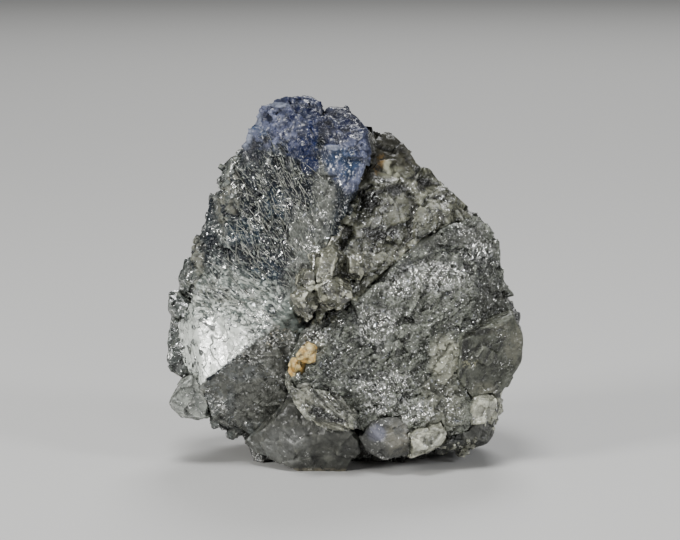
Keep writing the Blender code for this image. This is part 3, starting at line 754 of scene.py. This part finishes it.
graphiteLook = {
    "dark": (0.014, 0.015, 0.015), "pale": (0.075, 0.076, 0.070), "mottle": 1.0,
    "rough": (0.2, 0.5), "grain": 0.26, "grainVary": 0.45, "facet": 0.36, "facetTilt": 1.0,
    "fine": 0.13, "fineHeight": 0.016, "hollowShade": 0.4, "edgePaintedHighlight": 1.5, "coat": 0.1,
    "layers": [
        layer((0.14, 0.137, 0.115), 0.75, cloud=(2.2, 0.51, 0.62)),
        layer((0.15, 0.10, 0.05), 0.5, cloud=(3.0, 0.62, 0.70)),
        # painted glints: silver-white specks in the base colour, not metallic, laid over the painted
        # shade
        layer(silver, 0.8, specks=(0.26, 0.58, 0.62), cloud=(1.8, 0.42, 0.58), rough=0.12,
              onTop=True),
    ],
}

flakeLook = dict(graphiteLook, dark=(0.20, 0.21, 0.22), pale=(0.5, 0.52, 0.54), metal=1.0,
                 rough=(0.16, 0.3), facetTilt=0.15, fineHeight=0.008, hollowShade=1.0,
                 edgePaintedHighlight=1.0, layers=[])

needleLook = dict(paleLook, dark=(0.09, 0.10, 0.088), pale=(0.40, 0.41, 0.35), rough=(0.25, 0.4),
                  layers=[])

finishes = {
    "tanzanite": crystalFinish("tanzanite", tanzaniteLook),
    "grey": crystalFinish("grey granular crystal", greyLook),
    "brown": crystalFinish("rough brown crystal", brownLook),
    "side": crystalFinish("smooth brown-grey crystal", sideLook),
    "smoky": crystalFinish("frosted smoky crystal", smokyLook),
    "fan": crystalFinish("fibrous plate", fanLook),
    "pale": crystalFinish("pale grains", paleLook),
    "rust": crystalFinish("rusty grains", rustLook),
    "lilac": crystalFinish("lilac crystal", lilacLook),
    "graphite": crystalFinish("graphite rock", graphiteLook),
    "flake": crystalFinish("graphite flake", flakeLook),
    "needle": crystalFinish("pale needle", needleLook),
    "cleft": crystalFinish("cleft crystal", cleftLook),
    "crust": crystalFinish("crust crystal", crustLook),
    "milky": crystalFinish("milky grain", milkyLook),
}
print("finishes built:", len(finishes))


# the crystals: how rough each is, from the widest relief to the finest, in millimetres

streaksDown, streaksUp = 47, -28        # degrees below and above level, along the crystals' grain


def lumps(size, height, **where):       # soft, rolling relief
    return {"size": size, "height": height, **where}


def grooves(angle, length, width, height, **where):
    return {"streak": (angle, length, width), "height": height, **where}


def breaks(size, tilt, step, seed, **where):            # flat faces, as where a stone breaks
    return {"size": size, "tilt": tilt, "step": step, "seed": seed, **where}


crystals = {
    "striated_crystal": {
        "node": "tanzanite_crystal", "slot": "tanzanite", "finish": "tanzanite", "voxel": 0.12,
        "relief": [
            lumps(4.0, 0.45),
            breaks(2.4, 0.10, 0.06, 3, streak=(streaksDown, 2.0), zone="smooth", outside=True),
            grooves(streaksDown, 4.0, 0.6, 0.16, zone="smooth", outside=True),
            breaks(0.8, 0.16, 0.05, 4, streak=(streaksDown, 2.2), zone="smooth", outside=True),
            lumps(1.6, 0.7, zone="rim"), breaks(1.0, 0.25, 0.10, 5, zone="rim"),
            lumps(1.4, 0.16, zone="tip"), breaks(0.8, 0.10, 0.02, 6, zone="tip"),
            lumps(1.1, 0.16), lumps(0.35, 0.04, zone="smooth", outside=True),
        ],
    },
    "granular_crystal": {
        "node": "grey_crystal", "slot": "grey_crystal", "finish": "grey", "voxel": 0.125,
        "flat": 0.4,
        "relief": [
            lumps(4.5, 0.6), breaks(2.6, 0.10, 0.06, 11, streak=(streaksUp, 1.8)),
            grooves(streaksUp, 4.0, 0.8, 0.14),
            breaks(1.1, 0.13, 0.05, 12, streak=(streaksUp, 1.6)), breaks(0.5, 0.13, 0.03, 13),
        ],
    },
    "rough_brown_crystal": {
        "node": "upper_brown_crystal", "slot": "brown_crystal", "finish": "brown", "voxel": 0.125,
        "relief": [
            lumps(3.2, 0.8), breaks(2.2, 0.25, 0.26, 21, streak=(-38, 1.7)),
            breaks(1.2, 0.12, 0.05, 22, streak=(-38, 1.5)),
        ],
    },
    "smooth_side_crystal": {
        "node": "side_crystal", "slot": "brown_crystal", "finish": "side", "voxel": 0.11,
        "grow": 0.30,
        "relief": [
            lumps(3.0, 0.4), breaks(2.4, 0.08, 0.04, 31, streak=(-17, 2.0)),
            grooves(-17, 4.0, 0.6, 0.12), lumps(0.4, 0.04),
        ],
    },
    "frosted_foot_crystal": {
        "node": "smoky_foot_crystal", "slot": "smoky_crystal", "finish": "smoky", "voxel": 0.12,
        "grow": 0.30,
        "relief": [
            lumps(2.4, 0.4), breaks(1.8, 0.09, 0.04, 41), breaks(0.6, 0.05, 0.01, 42),
        ],
    },
    "shell_plate": {
        "node": "fan_plate", "slot": "grey_crystal", "finish": "fan", "voxel": 0.09,
        "relief": [
            lumps(1.6, 0.5), breaks(1.2, 0.16, 0.08, 51, streak=(36, 2.2)),
            grooves(36, 2.4, 0.26, 0.12), lumps(0.3, 0.04),
        ],
    },
    "dark_foot_crystal": {
        "node": "right_foot_crystal", "slot": "smoky_crystal", "finish": "smoky", "voxel": 0.12,
        "relief": [
            lumps(2.0, 0.5), breaks(1.6, 0.16, 0.10, 61), breaks(0.6, 0.08, 0.02, 62),
        ],
    },
    "clear_lilac_crystal": {
        "node": "lilac_crystal", "slot": "tanzanite", "finish": "lilac", "voxel": 0.1,
        "grow": 0.22,
        "relief": [
            lumps(1.6, 0.08), breaks(1.6, 0.08, 0.03, 71),
        ],
    },
    "graphite_rock": {
        "node": "graphite_matrix", "slot": "graphite", "finish": "graphite", "voxel": 0.16,
        "flat": 0.4,
        "relief": [
            lumps(4.0, 0.6), breaks(2.6, 0.18, 0.12, 81, streak=(streaksUp, 1.8)),
            breaks(1.2, 0.22, 0.10, 82, streak=(streaksUp, 1.5)), breaks(0.6, 0.15, 0.04, 83),
        ],
    },
}

grain = {                # the small grains, whose finish goes by a node's name or its first word
    "voxel": 0.07, "grow": {"rust": 0.05, "crust": 0.05, "milky": 0.18}, "otherGrow": 0.15,
    "smooth": ("milky", "pale", "cleft"),
    "smoothRelief": [lumps(1.8, 0.10), breaks(1.5, 0.10, 0.03, 91)],
    "roughRelief": [lumps(1.5, 0.12), breaks(1.2, 0.22, 0.05, 91)],
    "finish": {"left_foot_grain": "milky", "cleft": "cleft", "foot": "pale", "rust": "rust",
               "left": "crust", "shoulder": "crust", "graphite": "graphite"},
}
slotOfNode = {part["node"]: part["material_slot"] for part in frame["record"]["subparts"]}
designed = [design["node"] for design in crystals.values()]
for node in frame["nodes"]:
    if node not in designed:
        finish = grain["finish"].get(node) or grain["finish"][node.split("_")[0]]
        relief = grain["smoothRelief" if finish in grain["smooth"] else "roughRelief"]
        grow = grain["grow"].get(finish, grain["otherGrow"])
        crystals[node + "_rough"] = {"node": node, "slot": slotOfNode[node], "finish": finish,
                                     "voxel": grain["voxel"], "grow": grow, "relief": relief}

shaping = {
    "grow": 0.22,        # closes the clearance between neighbours that grew together
    "mostTriangles": 190000, "quickCoarser": 1.6, "smoothRounds": 2,
    "hollowRounds": 14, "hollowReach": 0.16,
}
zonePlaces = {           # centre and reach, or from where to where
    "patch": ((-11.0, -6.0, 10.4), (4.2, 12.0, 4.2)),
    "broken": ((-7.0, -8.0, 6.6), (6.0, 12.0, 4.4)),
    "crown": (27.2, 28.6), "lobe": (12.0, 13.2),
    "front": (-0.45, -0.86, 0.25), "rim": (-0.75, -0.35),
}


def zonesOf(points, normals):           # where the striated crystal is smooth, frosted or crusted
    patch = ease(nearness(points, *zonePlaces["patch"]), 0.05, 0.5)
    broken = ease(nearness(points, *zonePlaces["broken"]), 0.05, 0.5)
    crown = ease(points[:, 2], *zonePlaces["crown"])
    lobe = ease(points[:, 0] + 0.5 * points[:, 2], *zonePlaces["lobe"])
    turnedAway = ease(-(normals @ np.array(zonePlaces["front"])), *zonePlaces["rim"])
    return {"smooth": np.maximum(patch * 0.95, broken * 0.5), "tip": np.maximum(crown, lobe),
            "rim": turnedAway * (1.0 - 0.95 * np.max([crown, lobe, patch], axis=0))}


def makeCrystal(name, design):
    piece = copyOfNode(design["node"], name)
    grow = design.get("grow", shaping["grow"])
    useModifier(piece, "DISPLACE", strength=grow * mm, mid_level=0.0)
    voxel = design["voxel"] * 1.0
    useModifier(piece, "REMESH", mode="VOXEL", voxel_size=voxel * mm)
    useModifier(piece, "SMOOTH", factor=0.5, iterations=shaping["smoothRounds"])
    zones = zonesOf(places(piece), facings(piece))
    if name == "striated_crystal":
        for zone, weights in zones.items():
            addWeights(piece, zone, weights)
    for relief in design["relief"]:
        if "tilt" in relief:
            fracture(piece, relief, zones)
        else:
            roughen(piece, relief)
    flat = "flat" in design             # the share of the faces that is kept, left unsmoothed
    if flat:
        useModifier(piece, "DECIMATE", ratio=design["flat"])
    triangles = 2 * len(piece.data.polygons)
    if triangles > shaping["mostTriangles"]:
        useModifier(piece, "DECIMATE", ratio=shaping["mostTriangles"] / triangles)
    keepInBox(piece)
    markHollows(piece, shaping["hollowRounds"], shaping["hollowReach"])
    piece.vertex_groups.clear()
    choose(piece)
    if flat:
        bpy.ops.object.shade_flat()
    else:
        bpy.ops.object.shade_smooth()
    piece.data.materials.append(finishes[design["finish"]])
    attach(piece, "root")
    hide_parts(design["node"])
    return piece


made = {name: makeCrystal(name, design) for name, design in crystals.items()}
print("crystals modelled:", len(made), "triangles:",
      sum(2 * len(piece.data.polygons) for piece in made.values()))


# flakes, needles and crumbs that lie on them, each modelled once and then copied

def cutOff(point, facing):              # removes what lies beyond a plane, and closes the cut
    bpy.ops.mesh.select_all(action="SELECT")
    bpy.ops.mesh.bisect(plane_co=point, plane_no=facing, use_fill=True, clear_outer=True)


def flakeTemplate():     # a thin six-sided plate
    bpy.ops.object.select_all(action="DESELECT")
    bpy.ops.mesh.primitive_cylinder_add(vertices=6, radius=0.5, depth=0.12, end_fill_type="NGON")
    flake = bpy.context.object
    bpy.ops.object.mode_set(mode="EDIT")
    bpy.ops.mesh.select_all(action="SELECT")
    bpy.ops.transform.resize(value=(1.0, 0.8, 1.0))
    cutOff((0.34, 0.1, 0.0), (0.9, 0.4, 0.3))
    bpy.ops.object.mode_set(mode="OBJECT")
    return flake


def needleTemplate():    # a long thin sliver with slanted ends
    bpy.ops.object.select_all(action="DESELECT")
    bpy.ops.mesh.primitive_cylinder_add(vertices=5, radius=0.5, depth=1.0, end_fill_type="NGON",
                                        rotation=(0.0, math.radians(90.0), 0.0))
    needle = bpy.context.object
    bpy.ops.object.transform_apply(location=False, rotation=True, scale=False)
    bpy.ops.object.mode_set(mode="EDIT")
    for side in (-1.0, 1.0):
        cutOff((0.42 * side, 0.0, 0.0), (side, 0.12, 0.10))
    bpy.ops.object.mode_set(mode="OBJECT")
    return needle


def crumbTemplate(seed):                # a small chip with a few broken faces
    chance = random.Random(seed)
    bpy.ops.object.select_all(action="DESELECT")
    bpy.ops.mesh.primitive_cube_add(size=1.0)
    crumb = bpy.context.object
    bpy.ops.object.mode_set(mode="EDIT")
    for _ in range(7):
        facing = Vector([chance.gauss(0, 1) for _ in range(3)]).normalized()
        cutOff(facing * chance.uniform(0.36, 0.52), facing)
    bpy.ops.mesh.select_all(action="SELECT")
    bpy.ops.mesh.normals_make_consistent(inside=False)
    bpy.ops.object.mode_set(mode="OBJECT")
    return crumb


def facesOf(piece):      # centres in millimetres, normals and areas
    faces = piece.data.polygons
    centres, normals = readAll(faces, "center", 3) / mm, readAll(faces, "normal", 3)
    return centres, normals, readAll(faces, "area", 1)[:, 0]


def unit(vectors):
    return vectors / np.linalg.norm(vectors, axis=1, keepdims=True)


def scatter(name, templates, design):
    chance = np.random.RandomState(design["seed"])
    count = design["count"]
    found = [facesOf(made[host]) for host in design["hosts"]]
    centres, normals, areas = (np.concatenate(kind) for kind in zip(*found))
    weights = areas * design["where"](centres, normals)
    chosen = chance.choice(len(weights), count, p=weights / weights.sum())
    facing = unit(normals[chosen] + chance.normal(0.0, design["lean"], (count, 3)))
    heading = chance.normal(0.0, 1.0, (count, 3))
    if "along" in design:
        turn = design["along"](centres[chosen]) + design["spread"] * chance.normal(0, 1, count)
        turn = np.radians(turn)
        heading = np.stack([np.cos(turn), np.zeros(count), -np.sin(turn)], axis=1)
    across = unit(np.cross(facing, heading))
    heading = np.cross(across, facing)
    smallest, largest = design["sizes"]
    sizes = smallest + (largest - smallest) * chance.rand(count) ** 2
    thick = design["thick"] * (0.6 + 0.8 * chance.rand(count)) if "thick" in design else sizes
    spots = centres[chosen] - normals[chosen] * (thick * design["sunk"])[:, None]
    points, faces, start = [], [], 0
    for index in range(count):
        template = templates[chance.randint(len(templates))]
        shape = places(template) * mm   # the template is one unit long
        length, width, height = (shape[:, axis:axis + 1] for axis in range(3))
        shape = (length * sizes[index] * heading[index] + width * thick[index] * across[index]
                 + height * thick[index] * facing[index])
        points.append(spots[index] + shape)
        faces += [[corner + start for corner in face.vertices] for face in template.data.polygons]
        start += len(shape)
    mesh = bpy.data.meshes.new(name)
    mesh.from_pydata((np.concatenate(points) * mm).tolist(), [], faces)
    piece = bpy.data.objects.new(name, mesh)
    bpy.context.scene.collection.objects.link(piece)
    keepInBox(piece)
    setHollow(mesh, np.full(len(mesh.vertices), 0.45))
    mesh.materials.append(finishes[design["finish"]])
    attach(piece, "root")


def streakAngle(points): # the streaks of the striated crystal turn flatter lower down
    return 20.0 + 34.0 * ease(points[:, 2], 14.0, 19.0)


def nearAny(spots):      # a weight that is highest near any of these spots
    def weight(points, normals):
        return np.max([nearness(points, centre, reach) for centre, reach in spots], axis=0)
    return weight


def onFront(spots):
    near = nearAny(spots)
    return lambda points, normals: near(points, normals) * (normals[:, 1] < -0.35)


def dusting(points, normals):           # flakes gather in clouds, few of them on the blue tip
    x, y, z = points.T
    wave = np.sin(x * 1.1 + z * 0.7) * np.sin(y * 0.9 - z * 1.3)
    brownTop = ease(z, 19.0, 23.0) * ease(x, -1.0, 2.0)
    lobe = ease(x + 0.5 * z, 11.6, 12.8) * (x < 2.6)
    clean = np.max([brownTop, ease(z, 26.0, 27.5), lobe], axis=0)
    return (0.3 + ease(wave, 0.1, 0.9)) * (1.0 - 0.92 * clean)


crumbs = {"templates": "crumb", "lean": 0.5, "sunk": 0.2, "slot": "pale_grain"}
scatters = {             # sizes in millimetres, and lean as a share of upright
    "graphite_flakes": {
        "templates": "flake", "finish": "flake", "slot": "graphite", "count": 8000, "seed": 5,
        "hosts": ["granular_crystal", "rough_brown_crystal", "graphite_rock", "striated_crystal"],
        "sizes": (0.10, 0.34), "lean": 0.35, "sunk": 0.02, "where": dusting,
    },
    "pale_needles": {
        "templates": "needle", "finish": "needle", "slot": "tanzanite", "count": 380, "seed": 7,
        "hosts": ["striated_crystal"], "sizes": (0.6, 4.6), "thick": 0.034, "lean": 0.04,
        "sunk": 0.1, "along": streakAngle, "spread": 17.0,
        "where": onFront([((-5.6, -5, 22.4), (4.6, 8, 5.2)), ((-7.6, -6, 18.0), (4.2, 8, 4.2)),
                          ((-9.4, -6, 14.6), (4.4, 8, 2.6))]),
    },
    "cleft_crumbs": {
        **crumbs, "finish": "cleft", "count": 70, "seed": 8, "sizes": (0.2, 0.6),
        "hosts": ["granular_crystal", "rough_brown_crystal", "striated_crystal"],
        "where": nearAny([((-1.6, -6.5, 17.6), (3.2, 6, 4.2)), ((2.6, -6, 18.4), (4.2, 6, 1.6)),
                          ((-3.2, -8, 12.6), (1.8, 5, 2.4))]),
    },
    "edge_crumbs": {
        **crumbs, "finish": "crust", "count": 170, "seed": 13, "sizes": (0.2, 0.7),
        "hosts": ["striated_crystal"],
        "where": nearAny([((-13.8, -1, 8.6), (2.6, 5, 6.0)), ((-11.0, -4, 4.0), (3.2, 5, 2.6)),
                          ((-10.2, -2, 23.0), (1.8, 4, 4.4)), ((-12.6, -2, 17.0), (1.2, 4, 3.6))]),
    },
    "foot_crumbs": {
        **crumbs, "finish": "pale", "count": 130, "seed": 21, "sizes": (0.2, 0.7),
        "hosts": ["dark_foot_crystal", "graphite_rock"],
        "where": nearAny([((12.6, -4, 5.6), (2.2, 6, 3.4)), ((10.0, -5, 1.6), (4.0, 6, 1.6))]),
    },
}
templates = {"flake": [flakeTemplate()], "needle": [needleTemplate()],
             "crumb": [crumbTemplate(seed) for seed in (2, 3, 4, 5, 6)]}
for name, design in scatters.items():
    scatter(name, templates[design["templates"]], design)
for template in sum(templates.values(), []):
    bpy.data.objects.remove(template)
print("flakes and crumbs placed:", sum(design["count"] for design in scatters.values()))


# floor, light and camera

studio = {
    "floorSize": 6.0, "floorColour": (0.56, 0.56, 0.55, 1), "floorRough": 0.7,
    "worldColour": (0.82, 0.82, 0.81, 1), "worldStrength": 0.13,
    "lights": {              # place in metres, size, watts and colour
        "left softbox": ((-0.34, -0.26, 0.17), 0.13, 1.7, (1.0, 0.99, 0.96)),
        "top softbox": ((-0.05, -0.16, 0.42), 0.14, 1.3, (1.0, 1.0, 1.0)),
        "right softbox": ((0.34, -0.24, 0.22), 0.10, 0.8, (0.97, 0.98, 1.0)),
        "front softbox": ((0.12, -0.44, 0.16), 0.08, 0.3, (1.0, 1.0, 1.0)),
        "back softbox": ((0.08, 0.60, 0.62), 0.30, 3.6, (1.0, 1.0, 1.0)),
    },
    "aimAt": (-0.0003, -0.002, 0.0166), "distance": 0.241, "elevation": 8.0, "lens": 150.0,
    "sensor": 36.0, "nearest": 0.01,
}

bpy.ops.object.select_all(action="DESELECT")
bpy.ops.mesh.primitive_plane_add(size=studio["floorSize"], location=(0.0, 0.0, 0.0))
floor = bpy.context.object
floor.name = "floor"
floorFinish = bpy.data.materials.new("pale floor")
floorFinish.use_nodes = True
feed(floorFinish.node_tree, floorFinish.node_tree.nodes["Principled BSDF"],
     {"Base Color": studio["floorColour"], "Roughness": studio["floorRough"]})
floor.data.materials.append(floorFinish)

aim = Vector(studio["aimAt"])
for name, (place, size, watts, colour) in studio["lights"].items():
    data = bpy.data.lights.new(name, "AREA")
    data.size = size
    data.energy = watts
    data.color = colour
    lamp = bpy.data.objects.new(name, data)
    lamp.location = place
    lamp.rotation_euler = (aim - Vector(place)).to_track_quat("-Z", "Y").to_euler()
    bpy.context.scene.collection.objects.link(lamp)

world = bpy.data.worlds.new("studio")
world.use_nodes = True
feed(world.node_tree, world.node_tree.nodes["Background"],
     {"Color": studio["worldColour"], "Strength": studio["worldStrength"]})
bpy.context.scene.world = world

elevation = math.radians(studio["elevation"])
camera = bpy.data.objects.new("camera", bpy.data.cameras.new("camera"))
camera.data.lens = studio["lens"]
camera.data.sensor_width = studio["sensor"]
camera.data.clip_start = studio["nearest"]
camera.location = aim + Vector((0.0, -math.cos(elevation), math.sin(elevation))) * studio["distance"]
camera.rotation_euler = (aim - camera.location).to_track_quat("-Z", "Y").to_euler()
bpy.context.scene.collection.objects.link(camera)
bpy.context.scene.camera = camera
print("studio set")
